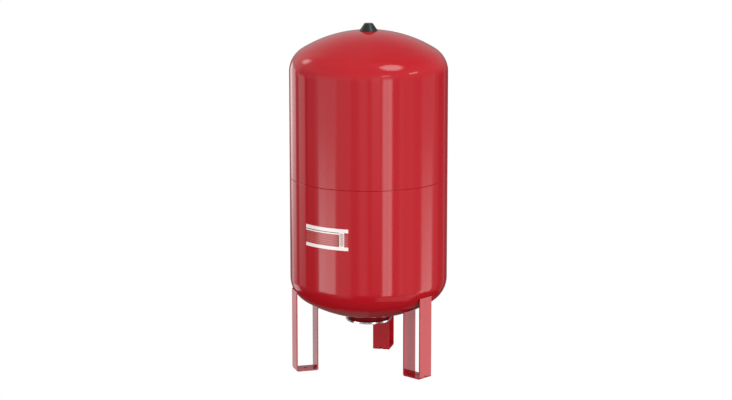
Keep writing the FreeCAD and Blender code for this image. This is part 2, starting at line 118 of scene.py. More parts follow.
def high_dome(r):
    """Height over the floor of the top dome at radius r."""
    return UPPER_TANGENT + head_height(r)


# %% [markdown]
# ## Camera
# The photo was taken from far away with a long lens, a little to the right of
# the tank's front and 12 degrees above the level. A long lens keeps the sides
# of the tank parallel, so the distance matters as much as the angle.

# %% Camera
def new_object(name, data):
    """Puts a camera or a mesh in the scene, as an object at the origin."""
    made = bpy.data.objects.new(name, data)
    bpy.context.scene.collection.objects.link(made)
    return made


camera_data = bpy.data.cameras.new("camera")
camera_data.lens = 118.89
camera_data.sensor_width = 36.0
camera_data.shift_x = -0.003552
camera = new_object("camera", camera_data)
camera.location = (2.0939, -8.7729, 2.5679)
camera.rotation_euler = (math.radians(90 - 12.021), 0, math.radians(13.424))
bpy.context.scene.camera = camera
bpy.context.scene.view_settings.view_transform = "Standard"
CAMERA_SIDE = math.atan2(camera.location.y, camera.location.x)
print("camera stands at", round(math.degrees(CAMERA_SIDE) % 360, 2), "degrees")

# %% [markdown]
# ## Shader nodes
# A material is a small graph. A few helpers keep each graph readable: one adds
# a node and plugs things into it, others do sums or blend two colours, and the
# last ones open a material or a group. Every material is kept by its name.


# %% Node helpers
def plug(tree, node, inputs):
    """Sets a node's inputs. A value is either a number or another node's output."""
    for name, value in inputs.items():
        if isinstance(value, bpy.types.NodeSocket):
            tree.links.new(value, node.inputs[name])
        else:
            node.inputs[name].default_value = value


def add(tree, kind, inputs=None, **settings):
    """Adds a node with its settings and inputs."""
    made = tree.nodes.new("ShaderNode" + kind)
    for name, value in settings.items():
        setattr(made, name, value)
    plug(tree, made, inputs or {})
    return made


def maths(tree, operation, *values, clamp=False):
    """One Math node, and its result."""
    inputs = dict(enumerate(values))
    return add(tree, "Math", inputs, operation=operation, use_clamp=clamp).outputs[0]


def chain(tree, operation, total, *others):
    """A sum, product or maximum of many values, one Math node after another."""
    for value in others:
        total = maths(tree, operation, total, value)
    return total


def blend_colours(tree, share, first, second):
    """Mix node for colours: share 0 gives the first colour, 1 the second."""
    made = add(tree, "Mix", {0: share, 6: first, 7: second}, data_type="RGBA")
    return made.outputs[2]


# %% Materials and groups
FINISHES = {}


def empty_tree(owner):
    """The node tree of a material or a world, cleared."""
    owner.use_nodes = True
    owner.node_tree.nodes.clear()
    return owner.node_tree


def new_material(name, **principled):
    """A material with one Principled BSDF, whose plain numbers are set on its own sockets."""
    made = FINISHES[name] = bpy.data.materials.new(name)
    tree = empty_tree(made)
    numbers = {socket.replace("_", " "): value for socket, value in principled.items()}
    shader = add(tree, "BsdfPrincipled", numbers)
    add(tree, "OutputMaterial", {"Surface": shader.outputs[0]})
    return tree, shader


def new_group(name, inputs, output):
    """A node group. Its inputs are numbers with a default, or vectors, and its output a number."""
    made = bpy.data.node_groups.new(name, "ShaderNodeTree")
    for label, default in inputs.items():
        kind = "NodeSocketVector" if default == "vector" else "NodeSocketFloat"
        socket = made.interface.new_socket(label, in_out="INPUT", socket_type=kind)
        if default != "vector":
            socket.default_value = default
    made.interface.new_socket(output, in_out="OUTPUT", socket_type="NodeSocketFloat")
    given = made.nodes.new("NodeGroupInput").outputs
    return made, given, made.nodes.new("NodeGroupOutput").inputs[output]


def use_group(tree, group, **inputs):
    """Places a group in a material with its own values, and returns its output."""
    return add(tree, "Group", inputs, node_tree=group).outputs[0]


def object_place(tree):
    """Object coordinates. Every piece's object sits at the origin, so they are the tank's."""
    return add(tree, "TexCoord").outputs["Object"]


# %% [markdown]
# ## Effects that several finishes share
# Sprayed paint, moulded plastic and plated steel are never quite even. One
# group gives a soft cloud of light and dark over a decimetre or so. Another
# gives the fine grain: orange peel in paint, the eroded skin of a mould, the
# crystals of zinc. Each finish places them with its own scale.

# %% Group: uneven
uneven, given, result = new_group("uneven", {"Place": "vector", "Size": 5.0}, "Cloud")
cloud = add(uneven, "TexNoise", {
    "Vector": given["Place"], "Scale": given["Size"], "Detail": 3.0, "Roughness": 0.6})
uneven.links.new(cloud.outputs[0], result)

# %% Group: fine grain
grain, given, result = new_group(
    "fine grain", {"Place": "vector", "Size": 400.0, "Second": 3.0}, "Height")
broad = add(grain, "TexNoise", {"Vector": given["Place"], "Scale": given["Size"], "Detail": 1.0})
finer = add(grain, "TexNoise", {
    "Vector": given["Place"], "Detail": 2.0,
    "Scale": maths(grain, "MULTIPLY", given["Size"], given["Second"])})
grain.links.new(maths(grain, "ADD", maths(grain, "MULTIPLY", broad.outputs[0], 0.7),
                      maths(grain, "MULTIPLY", finer.outputs[0], 0.3)), result)

# %% Group: settled dust
# A little dust lies on what faces up, and none on what faces down.
dust, given, result = new_group("settled dust", {"Place": "vector", "Amount": 0.1}, "Mask")
facing = add(dust, "SeparateXYZ", {0: add(dust, "NewGeometry").outputs["Normal"]}).outputs[2]
specks = add(dust, "TexNoise", {"Vector": given["Place"], "Scale": 180.0, "Detail": 4.0}).outputs[0]
upward = maths(dust, "POWER", maths(dust, "MAXIMUM", facing, 0.0), 3.0)
dust.links.new(maths(dust, "MULTIPLY", maths(dust, "MULTIPLY", upward, specks), given["Amount"],
                     clamp=True), result)
print("groups", [g.name for g in bpy.data.node_groups])

# %% [markdown]
# Paint, metal, rubber and plastic then share one recipe. The cloud blends a
# deep and a light colour and varies the roughness, dust may lie on top, and
# the fine grain is a bump that is only hundredths of a millimetre deep.


# %% Recipe of a finish
def skin(tree, shader, colour, share, spread, roughness, height, depth):
    """Plugs in a colour, a roughness of share * spread + roughness, and a bump."""
    bump = add(tree, "Bump", {"Height": height, "Distance": depth})
    plug(tree, shader, {"Base Color": colour, "Normal": bump.outputs[0],
                        "Roughness": maths(tree, "MULTIPLY_ADD", share, spread, roughness)})


def new_finish(name, deep, light, roughness, depth, cloud_size, spread, size, second,
               dust_amount=0.0, dust_colour=None, rings=0.0, **principled):
    """A finish of clouds, dust and fine grain. Rings are the marks of a lathe in its bump."""
    tree, shader = new_material(name, **principled)
    place = object_place(tree)
    share = use_group(tree, uneven, Place=place, Size=cloud_size)
    height = use_group(tree, grain, Place=place, Size=size, Second=second)
    colour = blend_colours(tree, share, deep, light)
    if dust_amount:
        grime = use_group(tree, dust, Place=place, Amount=dust_amount)
        colour = blend_colours(tree, grime, colour, dust_colour)
    if rings:
        marks = add(tree, "TexWave", {"Vector": place, "Scale": 320.0, "Distortion": 0.4,
                                      "Detail": 1.0}, wave_type="RINGS", rings_direction="Z")
        height = maths(tree, "MULTIPLY_ADD", marks.outputs["Fac"], rings, height)
    skin(tree, shader, colour, share, spread, roughness, height, depth)


# %% [markdown]
# ## Red paint
# One coat of glossy red, baked on. Close up it has orange peel: shallow waves
# a few millimetres long that break the edges of a reflection. A bump of a few
# hundredths of a millimetre is enough, and more would look like leather. The
# spray hardly reaches the neck between dome and flange, so the coat there is
# thin and dull, and its colour is darkened as painted shade under the dome. The
# bead in the groove of the seam is dull as well, and darkened as painted shade of the groove.

# %% Red paint
PAINT = dict(cloud_size=4.0, spread=0.05, size=170.0, second=2.6, IOR=1.5,
             dust_amount=0.03, dust_colour=(0.45, 0.40, 0.36, 1))
new_finish("red_paint", (0.366, 0.0068, 0.0125, 1), (0.388, 0.0078, 0.0140, 1), 0.055, 0.00002,
           Specular_IOR_Level=0.5, **PAINT)
# Dull coat of the neck: its dark colour is painted shade under the dome.
new_finish("shaded_dull_red_paint", (0.135, 0.0016, 0.0032, 1), (0.175, 0.0022, 0.0042, 1), 0.38, 0.00003,
           Specular_IOR_Level=0.05, **PAINT)
# Coat of the seam's groove: dull, and its darker colour is painted shade in the groove.
new_finish("groove_shade_red_paint", (0.21, 0.0022, 0.0040, 1), (0.25, 0.0028, 0.0050, 1), 0.40, 0.00003,
           Specular_IOR_Level=0.03, **PAINT)

# %% [markdown]
# ## Plated steel, stainless and brass
# The flange cover was turned on a lathe before it was plated, so it keeps fine
# rings round its middle. Rings are a wave over the distance from the axis.

# %% Metals
METAL = dict(depth=0.00002, cloud_size=45.0, spread=0.16, size=1500.0, second=2.5, Metallic=1.0)
new_finish("zinc_plate", (0.72, 0.74, 0.77, 1), (0.82, 0.83, 0.85, 1), 0.10, rings=1.0, **METAL)
new_finish("stainless", (0.50, 0.50, 0.50, 1), (0.62, 0.61, 0.60, 1), 0.24, **METAL)
new_finish("brass", (0.66, 0.45, 0.18, 1), (0.80, 0.58, 0.26, 1), 0.20, **METAL)

# %% [markdown]
# ## Rubber and black plastic
# Butyl rubber is matt and greyish black. The small cover is moulded in black
# plastic with a finely eroded skin, which scatters light a little more.

# %% Rubber and plastic
DULL = dict(cloud_size=30.0, spread=0.12, second=2.0, IOR=1.5,
            dust_amount=0.05, dust_colour=(0.35, 0.33, 0.30, 1))
new_finish("rubber", (0.020, 0.020, 0.021, 1), (0.032, 0.031, 0.030, 1), 0.62, 0.00005,
           size=700.0, Specular_IOR_Level=0.5, **DULL)
new_finish("black_plastic", (0.013, 0.013, 0.014, 1), (0.018, 0.018, 0.019, 1), 0.24, 0.00003,
           size=1400.0, Specular_IOR_Level=0.34, **DULL)

# %% [markdown]
# ## Film label
# The label is a strip of film with its own map: u runs along the film, v up it.
# Only its plain fields are drawn: a white head and foot, two thin dark rules,
# fine lines on red, and a pale column with ticks down both its sides. A stripe
# is what lies between two values of u or v.

# %% Group: stripe
stripe, given, result = new_group("stripe", {"Value": 0.0, "From": 0.0, "To": 1.0}, "Mask")
above = maths(stripe, "GREATER_THAN", given["Value"], given["From"])
below = maths(stripe, "LESS_THAN", given["Value"], given["To"])
stripe.links.new(maths(stripe, "MULTIPLY", above, below), result)

# %% Film label
tree, shader = new_material("label_film", IOR=1.7)
across, up, _ = add(tree, "SeparateXYZ", {0: add(tree, "TexCoord").outputs["UV"]}).outputs
FOOT, HEAD = 0.16, 0.83
TICKS, LINES = (0.20, 0.80), (0.18, 0.72)


def between(value, low, high):
    """1 where a value lies between two others, and 0 elsewhere."""
    return use_group(tree, stripe, Value=value, From=low, To=high)


def field(left, right, low, high):
    """1 in a rectangle of the film's map."""
    return maths(tree, "MULTIPLY", between(across, left, right), between(up, low, high))


def rows_of(count, low, high, *fields):
    """The fields, cut to count rows up the film that each fill low to high of their share."""
    row = maths(tree, "FRACT", maths(tree, "MULTIPLY", up, count))
    return maths(tree, "MULTIPLY", between(row, low, high), chain(tree, "MAXIMUM", *fields))


white = chain(tree, "MAXIMUM", between(up, HEAD, 1.1), between(up, -0.1, FOOT),
              field(0.812, 0.918, FOOT, HEAD), field(-0.1, 0.812, 0.736, 0.795))
ticks = rows_of(13.0, 0.30, 0.70, field(0.818, 0.842, *TICKS), field(0.888, 0.912, *TICKS))
lines = rows_of(12.0, 0.0, 0.16, field(0.03, 0.785, *LINES), field(0.93, 0.985, *LINES))
rules = chain(tree, "MAXIMUM", field(0.02, 0.79, 0.795, HEAD), field(0.794, 0.812, *LINES))
film = (0.38, 0.026, 0.028, 1)
for mask, cover, colour in (
        (lines, 0.45, (0.78, 0.33, 0.32, 1)), (white, 1.0, (0.82, 0.73, 0.71, 1)),
        (ticks, 0.9, (0.36, 0.10, 0.10, 1)),
        (field(0.842, 0.888, *TICKS), 0.8, (0.40, 0.27, 0.26, 1)),
        (rules, 1.0, (0.085, 0.014, 0.014, 1))):
    film = blend_colours(tree, maths(tree, "MULTIPLY", mask, cover), film, colour)
place = object_place(tree)
skin(tree, shader, film, use_group(tree, uneven, Place=place, Size=20.0), 0.06, 0.16,
     use_group(tree, grain, Place=place, Size=300.0), 0.00002)
print("finishes", sorted(FINISHES))

# %% [markdown]
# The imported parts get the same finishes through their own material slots, so
# that a part which is shown as it is never stays grey.

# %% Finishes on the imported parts
BODY_OF = {node: body for body, nodes in bodies.items() for node in nodes}
SLOT_NODES = {
    "label_film": ["rating_label"],
    "zinc_plate": ["flange_cover", "flange_bolts", "connection_socket", "socket_weld"],
    "stainless": ["inlet_screen", "core_spring"],
    "rubber": ["bladder", "valve_seal", "core_plug", "dust_cap_seal"],
    "brass": ["valve_stem", "valve_core", "core_pin"],
    "black_plastic": ["dust_cap", "valve_cover"],
}
SLOT_OF = {node: slot for slot, nodes in SLOT_NODES.items() for node in nodes}
for name, part in frame["nodes"].items():
    for material_slot in part.material_slots:
        material_slot.material = FINISHES[SLOT_OF.get(name, "red_paint")]
print("painted", sum(name not in SLOT_OF for name in frame["nodes"]), "red parts")

# %% [markdown]
# ## Surfaces
# A surface is a grid of points. Rows follow one parameter, columns the other,
# and neighbours are joined by four-sided faces. When a grid closes on itself
# its last row or column is joined to the first, and rows that shrink to one
# point on the axis are merged there, so that each piece is a closed skin.

# %% From a grid to a piece
CREASE, BEAD_CREASE = 35.0, 80.0


def grid_faces(rows, columns, close_rows, close_columns):
    """Faces between neighbours of a grid, counted row by row."""
    i = np.arange(rows if close_rows else rows - 1)[:, None]
    j = np.arange(columns if close_columns else columns - 1)[None, :]
    i, j = np.broadcast_arrays(i, j)
    below, right = (i + 1) % rows, (j + 1) % columns
    corners = [i * columns + j, i * columns + right, below * columns + right, below * columns + j]
    return np.stack(corners, -1).reshape(-1, 4)


def make_mesh(name, points, faces, crease=CREASE):
    """Mesh from points in millimetres. Edges that turn more than crease stay sharp."""
    mesh = bpy.data.meshes.new(name)
    mesh.from_pydata((points * MM).tolist(), [], faces.tolist())
    work = bmesh.new()
    work.from_mesh(mesh)
    bmesh.ops.remove_doubles(work, verts=work.verts, dist=1e-7)
    work.to_mesh(mesh)
    work.free()
    mesh.polygons.foreach_set("use_smooth", np.ones(len(mesh.polygons), bool))
    mesh.set_sharp_from_angle(angle=math.radians(crease))
    return mesh


def make_piece(mesh, node, finish=None):
    """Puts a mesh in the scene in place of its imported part, on the same body."""
    body = BODY_OF[node]
    slot = SLOT_OF.get(node, "red_paint")
    piece = new_object(mesh.name, mesh)
    mesh.materials.append(FINISHES[finish or slot])
    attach(piece, body)
    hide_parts(node)
    print(piece.name, len(mesh.polygons), "faces on", body)
    return piece


# %% [markdown]
# Most of the tank was pressed or turned, so most pieces are a profile swung
# round the axis. A real edge is never a knife edge: each corner of a profile
# gets a small arc. Straight runs get a point close to either end, which keeps
# the shading flat up to the arc.


# %% Profiles with rounded corners
def unit(vector):
    """The same direction with length 1."""
    return vector / np.hypot(*vector)


def rounded_profile(corners, edge=0.3, closed=True, ease=0.25):
    """Points of a line through corners (r, z) or (r, z, radius), arcs at its corners.

    A corner's arc touches both runs at radius / tan(half the angle between them),
    and has a step for every 15 degrees. Eased points lie that far from an arc.
    """
    places = np.array([corner[:2] for corner in corners], float)
    radii = [corner[2] if len(corner) > 2 else edge for corner in corners]
    count = len(places)
    arcs = []
    for i, (place, radius) in enumerate(zip(places, radii)):
        if not closed and i in (0, count - 1) or radius <= 0:
            arcs.append(place[None])
            continue
        back, ahead = places[i - 1] - place, places[(i + 1) % count] - place
        to_back, to_ahead = unit(back), unit(ahead)
        half = math.acos(float(np.clip(to_back @ to_ahead, -1, 1))) / 2
        nearest = min(np.hypot(*back), np.hypot(*ahead))
        reach = min(radius / math.tan(half), 0.49 * nearest)
        centre = place + unit(to_back + to_ahead) * reach / math.cos(half)
        turn = math.pi - 2 * half
        steps = max(2, math.ceil(turn / math.radians(15)))
        share = np.linspace(0, 1, steps + 1)[:, None]
        swing = (np.sin((1 - share) * turn) * (place + to_back * reach - centre)
                 + np.sin(share * turn) * (place + to_ahead * reach - centre))
        arcs.append(centre + swing / math.sin(turn))
    points = []
    for i, arc in enumerate(arcs):
        points.append(arc)
        if i + 1 < count or closed:
            run = arcs[(i + 1) % count][0] - arc[-1]
            length = np.hypot(*run)
            if length > 4 * ease:
                points.append(arc[-1] + run * np.array([[ease], [length - ease]]) / length)
    return np.concatenate(points)


# %% Swing round the axis
def angles(count):
    """Angles evenly spaced round a whole turn."""
    return np.arange(count) * (2 * math.pi / count)


def swung(r, z, columns, close_rows=True):
    """Points and faces of a profile swung round the axis, with its faces outwards.

    r and z have one row for each profile point, and one column or as many as the
    swing has. A point at angle a is (r cos a, r sin a, z). The sign of the area
    inside the profile tells which way it runs.
    """
    if np.sum(r[:, 0] * np.roll(z[:, 0], -1) - np.roll(r[:, 0], -1) * z[:, 0]) < 0:
        r, z = r[::-1], z[::-1]
    r, z = (np.broadcast_to(v, (len(v), columns)) for v in (r, z))
    a = angles(columns)
    points = np.stack([r * np.cos(a), r * np.sin(a), z], -1).reshape(-1, 3)
    return points, grid_faces(len(r), columns, close_rows, True)


def stacked(rows, columns, base=0.0):
    """Arrays r and z from pairs (r, z), where each is a number, a row or several rows."""
    pairs = [np.broadcast_arrays(r, z, np.ones((1, columns)))[:2] for r, z in rows]
    r, z = (np.concatenate(part) for part in zip(*pairs))
    return r, z + base


def swing_piece(name, node, r, z, columns, closed=True, crease=CREASE, finish=None):
    """A piece that is a profile swung round the axis."""
    return make_piece(make_mesh(name, *swung(r, z, columns, closed), crease), node, finish)


def turned(name, node, base, corners, columns, edge=0.3, closed=True, finish=None):
    """A piece turned on a lathe. The corners of its section stand over the height base."""
    profile = rounded_profile(corners, edge, closed) + [0, base]
    return swing_piece(name, node, profile[:, :1], profile[:, 1:], columns, closed, finish=finish)


# %% [markdown]
# ## The two halves of the vessel
# Each half is deep drawn from one round blank: a shallow crown, a tighter
# knuckle and a straight side, 2 mm thick all over. The section runs down the
# outside and comes back up the inside. The lower half's rim is stepped in by
# its own thickness and slips into the upper half, which centres the two.

# %% Sections of the shells
SHELL_COLUMNS = 240
INSIDE_RADIUS = TANK_RADIUS - WALL
UPPER_EDGE, LOWER_EDGE = SEAM + SEAM_GAP / 2, SEAM - SEAM_GAP / 2
RIM_CHAMFER = 0.8


def head_line(wall, start_radius, steps=90):
    """Radius and rise of a head from start_radius out to the tangent line.

    Steps are even along the slope: half of them on the crown, half on the knuckle.
    """
    side, crown, knuckle, junction = head_sizes(wall)
    slopes = np.linspace(math.asin(start_radius / crown), math.asin(junction / crown), steps)
    last = math.acos((junction - side + knuckle) / knuckle)
    on_knuckle = side - knuckle + knuckle * np.cos(np.linspace(last, 0, steps))
    r = np.concatenate([crown * np.sin(slopes), on_knuckle[1:]])
    return np.stack([r, head_height(r, wall)], -1)


def side_run(radius, low, high, steps=14):
    """Points up a straight side, without its two ends."""
    return np.stack([np.full(steps, radius), np.linspace(low, high, steps)], -1)[1:-1]


def drawn(name, node, *parts):
    """A shell from the lines that make up its section."""
    section = np.concatenate(parts)
    swing_piece(name, node, section[:, :1], section[:, 1:], SHELL_COLUMNS)


rim = rounded_profile([
    (INSIDE_RADIUS, UPPER_EDGE + 1), (INSIDE_RADIUS, UPPER_EDGE),
    (TANK_RADIUS - RIM_CHAMFER, UPPER_EDGE), (TANK_RADIUS, UPPER_EDGE + RIM_CHAMFER),
    (TANK_RADIUS, UPPER_EDGE + 3)], closed=False)
drawn(
    "upper_shell_drawn", "upper_shell", head_line(0, BOSS_HOLE) + [0, UPPER_TANGENT],
    side_run(TANK_RADIUS, UPPER_TANGENT, UPPER_EDGE + 3), rim[::-1],
    side_run(INSIDE_RADIUS, UPPER_EDGE + 1, UPPER_TANGENT),
    (head_line(WALL, BOSS_HOLE) + [0, UPPER_TANGENT])[::-1])

# %% Lower shell with its joggled rim
LAP_RADIUS = INSIDE_RADIUS - 0.15
LAP, STEP_START = 18, 4


def beside(line, distance):
    """The line that runs that far to the left of an open line of points."""
    step = np.diff(line, axis=0)
    step /= np.hypot(*step.T)[:, None]
    left = np.stack([-step[:, 1], step[:, 0]], -1)
    bisector = left[:-1] + left[1:]
    middle = line[1:-1] + bisector * (2 * distance / np.sum(bisector ** 2, -1))[:, None]
    return np.concatenate([[line[0] + left[0] * distance], middle,
                           [line[-1] + left[-1] * distance]])


rim = rounded_profile([
    (TANK_RADIUS, LOWER_EDGE - STEP_START), (TANK_RADIUS, LOWER_EDGE, 0.4),
    (LAP_RADIUS, UPPER_EDGE, 0.4), (LAP_RADIUS, UPPER_EDGE + LAP)], closed=False)
drawn(
    "lower_shell_drawn", "lower_shell", head_line(0, COLLAR_HOLE) * [1, -1] + [0, LOWER_TANGENT],
    side_run(TANK_RADIUS, LOWER_TANGENT, LOWER_EDGE - STEP_START), rim, beside(rim, WALL)[::-1],
    side_run(INSIDE_RADIUS, LOWER_TANGENT, LOWER_EDGE - STEP_START)[::-1],
    (head_line(WALL, COLLAR_HOLE) * [1, -1] + [0, LOWER_TANGENT])[::-1])

# %% [markdown]
# ## Weld beads
# A bead is laid in small overlapping puddles, so its surface carries ripples
# across its run. Here a section swells and shrinks with the angle: a ripple is
# a wave over the length of the bead, bent back a little to either side.

# %% Beads round the axis
GROOVE_RADIUS = 299.2
COLLAR_RADIUS = 79.6
BOSS_RADIUS = 17.0


def bead(name, node, corners, ripples, depth, bulge, columns, finish=None):
    """A weld bead between corners (foot one, root, foot two).

    The outer face runs from foot to foot. It bulges like a sine and ripples by
    depth, with the ripples bent back towards both feet.
    """
    first, root, last = (np.array(corner, float) for corner in corners)
    share = np.linspace(0, 1, 9)[:, None]
    chord = last - first
    normal = unit(np.array([chord[1], -chord[0]]))
    if normal @ (first - root) < 0:
        normal = -normal
    arch = np.sin(math.pi * share)
    swell = arch * (bulge + depth * np.cos(ripples * angles(columns) + 1.6 * arch))
    face = [first[i] + chord[i] * share + normal[i] * swell for i in (0, 1)]
    swing_piece(name, node, *stacked([face, root], columns), columns, crease=BEAD_CREASE,
                finish=finish)


def fillet(radius, dome, wide, tall):
    """Corners of a fillet round a tube: out on the dome, where they meet, and up the tube."""
    return [(radius + wide, dome(radius + wide)), (radius, dome(radius)),
            (radius, dome(radius) + tall)]


lower_foot = LOWER_EDGE + SEAM_GAP * (TANK_RADIUS - GROOVE_RADIUS) / (TANK_RADIUS - LAP_RADIUS)
seam = [(GROOVE_RADIUS, lower_foot), (LAP_RADIUS, UPPER_EDGE), (GROOVE_RADIUS, UPPER_EDGE)]
# The seam bead's coat is darkened as painted shade in the groove.
bead("seam_bead", "seam_weld", seam, 420, 0.06, 0.12, 1680, "groove_shade_red_paint")
# The neck bead's coat is darkened as painted shade under the dome.
bead("neck_bead", "neck_weld", fillet(COLLAR_RADIUS, low_dome, 2.5, -2.5), 110, 0.10, 0.25, 660,
     "shaded_dull_red_paint")
bead("boss_bead", "boss_weld", fillet(BOSS_RADIUS, high_dome, 2.0, 2.0), 40, 0.08, 0.2, 240)

# %% [markdown]
# ## Legs
# A leg is one flat bar bent to a U. Its skin is a function of the place along
# the bar and the place round the bar's section. A dart is pressed into each
# bend: whatever stands out beyond a V-shaped valley is pushed back along the
# bend's diagonal, inside and outside alike, so that the bar keeps its
# thickness. The ends are cut to the curve of the dome.

# %% Sizes of a leg
STRAP_WIDTH, STRAP = 65.0, 5.0
LEG_OUTER, LEG_INNER = 296.4, 210.0
FACES = ((LEG_OUTER, 1), (LEG_INNER, -1))
BEND = 7.0
DART_HEIGHT, DART_WIDTH = 11.0, 15.0
DART_END = 17
EDGE_POINTS = 10
FOOT_HOLE = 7.0
LEG_ANGLES = {"leg_rear": 90, "leg_front_left": 210, "leg_front_right": 330}
LEG_TOP = low_dome(math.hypot(LEG_OUTER - STRAP, STRAP_WIDTH / 2))
print("outer strap ends at", round(LEG_TOP, 2))


# %% Section of the bar
def bar_section(corner=0.9):
    """Loop (y, t) round the flat bar: y across its width, t from its outer face inwards.

    Points are close together in the middle, where the dart is. The second half
    of the loop is the first half turned round.
    """
    half = STRAP_WIDTH / 2
    edge = half - corner
    flat = np.concatenate([[-edge, -edge + 0.3, -20], np.linspace(-8.5, 8.5, 30),
                           [20, edge - 0.3, edge]])
    bow = np.linspace(0, math.pi / 2, 5)[1:-1]
    round_y, round_t = corner * np.sin(bow), corner * (1 - np.cos(bow))
    side = [corner, corner + 0.2, STRAP - corner - 0.2, STRAP - corner]
    y = np.concatenate([flat, edge + round_y, np.full(4, half), edge + round_y[::-1]])
    t = np.concatenate([np.zeros(len(flat)), round_t, side, STRAP - round_t[::-1]])
    return np.concatenate([y, -y]), np.concatenate([t, STRAP - t])


# %% Darts in the bends
def pushed_back(x, z, y, t, centre_x, side):
    """Presses one dart: points beyond the valley go back along the bend's diagonal.

    The valley lies (DART_HEIGHT / 2 short of the bend's corner) and rises with
    the distance from the bar's middle. The edge is eased by a soft maximum.
    """
    across = np.sqrt(y ** 2 + 0.5) - math.sqrt(0.5)
    slope = DART_HEIGHT / (DART_WIDTH / 2)
    valley = (2 * BEND - DART_HEIGHT + slope * across) / math.sqrt(2) - t
    beyond = (side * (x - centre_x) - (z - BEND)) / math.sqrt(2) - valley
    push = (beyond + np.sqrt(beyond ** 2 + 0.3)) / 2
    push = np.where(np.abs(beyond) < 25, push, 0) * (np.abs(x - centre_x) < 30) * (z < 30)
    return x - side * push / math.sqrt(2), z + push / math.sqrt(2)


# %% Skin of a leg
def round_axis(degrees, x, y, z):
    """Points (x, y, z) turned about the tank's axis."""
    c, s = math.cos(math.radians(degrees)), math.sin(math.radians(degrees))
    return np.stack([x * c - y * s, x * s + y * c, z], -1)


def leg_points(degrees):
    """Points of a leg's skin as rows along the bar and columns round its section."""
    y, t = bar_section()
    bow = np.linspace(0, math.pi / 2, 13)[1:-1, None]
    rise = np.concatenate([[BEND], np.linspace(BEND + 0.5, DART_END, 13)])
    wall = np.linspace(0, 1, 12)[1:, None]
    parts = []
    for face, side in FACES:
        x = face - side * t
        top = np.minimum(LEG_TOP, low_dome(np.hypot(x, y)))
        z = np.concatenate([np.broadcast_to(rise[:, None], (len(rise), len(t))),
                            DART_END + (top - DART_END) * wall])
        reach = BEND - t
        parts += [(np.broadcast_to(x, z.shape), z),
                  (face - side * BEND + side * reach * np.sin(bow), BEND - reach * np.cos(bow))]
    foot = np.concatenate([
        LEG_INNER + rise, np.linspace(LEG_INNER + DART_END, LEG_OUTER - DART_END, 9)[1:-1],
        (LEG_OUTER - rise)[::-1]])
    outer, outer_bend, inner, inner_bend = parts
    foot = np.broadcast_arrays(foot[:, None], t)
    x, z = (np.concatenate([outer[i][::-1], outer_bend[i][::-1], foot[i][::-1],
                            inner_bend[i], inner[i]]) for i in (0, 1))
    for face, side in FACES:
        x, z = pushed_back(x, z, y, t, face - side * BEND, side)
    return round_axis(degrees, x, y, z)


def capped_faces(rows, columns):
    """Faces of the skin, with a strip over either end.

    Column j and column (shift - j) face each other across the bar's thickness.
    """
    shift = columns - EDGE_POINTS - 1
    faces = [grid_faces(rows, columns, False, True)]
    j = np.arange(shift // 2 - columns // 2 + 1, shift // 2)
    for row in (0, rows - 1):
        quads = [j, j + 1, shift - j - 1, shift - j]
        faces.append(np.stack([row * columns + q % columns for q in quads], -1))
    return np.concatenate(faces)


# %% Drilled holes
def drill(piece, places, radius, low, high, columns):
    """Cuts round holes with Boolean modifiers, which are then applied."""
    profile = np.array([(0, low), (radius, low), (radius, high), (0, high)], float)
    points, faces = swung(profile[:, :1], profile[:, 1:], columns, close_rows=False)
    cutters = []
    for x, y in places:
        cutter = new_object("drill", make_mesh("drill", points + [x, y, 0], faces))
        cutters.append(cutter)
        modifier = piece.modifiers.new("cut", "BOOLEAN")
        modifier.operation, modifier.object, modifier.solver = "DIFFERENCE", cutter, "EXACT"
    bpy.context.view_layer.update()
    graph = bpy.context.evaluated_depsgraph_get()
    made = bpy.data.meshes.new_from_object(piece.evaluated_get(graph))
    piece.modifiers.clear()
    old, piece.data = piece.data, made
    made.name = piece.name
    bpy.data.meshes.remove(old)
    made.set_sharp_from_angle(angle=math.radians(CREASE))
    for cutter in cutters:
        bpy.data.objects.remove(cutter)


# %% The three legs
def closed_skin(mesh):
    """The same mesh with its open ends filled and every face turned outwards."""
    work = bmesh.new()
    work.from_mesh(mesh)
    bmesh.ops.holes_fill(work, edges=[e for e in work.edges if e.is_boundary], sides=0)
    bmesh.ops.recalc_face_normals(work, faces=work.faces)
    work.to_mesh(mesh)
    work.free()
    return mesh


for node, degrees in LEG_ANGLES.items():
    points = leg_points(degrees)
    mesh = make_mesh(node + "_bar", points.reshape(-1, 3), capped_faces(*points.shape[:2]))
    bar = make_piece(closed_skin(mesh), node)
    hole = round_axis(degrees, (LEG_OUTER + LEG_INNER) / 2, 0, 0)[:2]
    drill(bar, [hole], FOOT_HOLE, -1, STRAP + 1, 64)

# %% [markdown]
# Each end of a leg is held by a fillet bead on the side that faces the tank's
# axis. The bead follows the line where the strap meets the dome, and fades at
# both ends, where the welder started and stopped.


# %% Leg welds
def leg_bead(face_radius, degrees, length=8.0, reach=3.5, stations=150):
    """Points and faces of a bead: rows along the strap's width, columns round its section.

    The section runs from the strap's toe over a bulged face to the dome's toe,
    and back through the corner. Its size fades as a twelfth power of the place.
    """
    place = np.linspace(-1, 1, stations)[:, None]
    size = np.sqrt(np.clip(1.0005 - place ** 12, 0, 1))
    y = place * (STRAP_WIDTH / 2 - 1)
    contact = low_dome(np.hypot(face_radius, y))
    toe = face_radius - reach * size
    toe_z = low_dome(np.hypot(toe, y))
    share = np.linspace(0, 1, 9)[None, :]
    arch = np.sin(math.pi * share)
    swell = arch * size * (0.35 + 0.13 * np.cos(y * 4.6 + 1.5 * arch))
    x = face_radius + (toe - face_radius) * share - 0.9 * swell
    z = contact - length * size + (toe_z - contact + length * size) * share - 0.4 * swell
    x = np.concatenate([x, np.full((stations, 1), face_radius)], 1)
    z = np.concatenate([z, contact], 1)
    points = round_axis(degrees, x, y, z)
    return points.reshape(-1, 3), grid_faces(stations, x.shape[1], False, True)


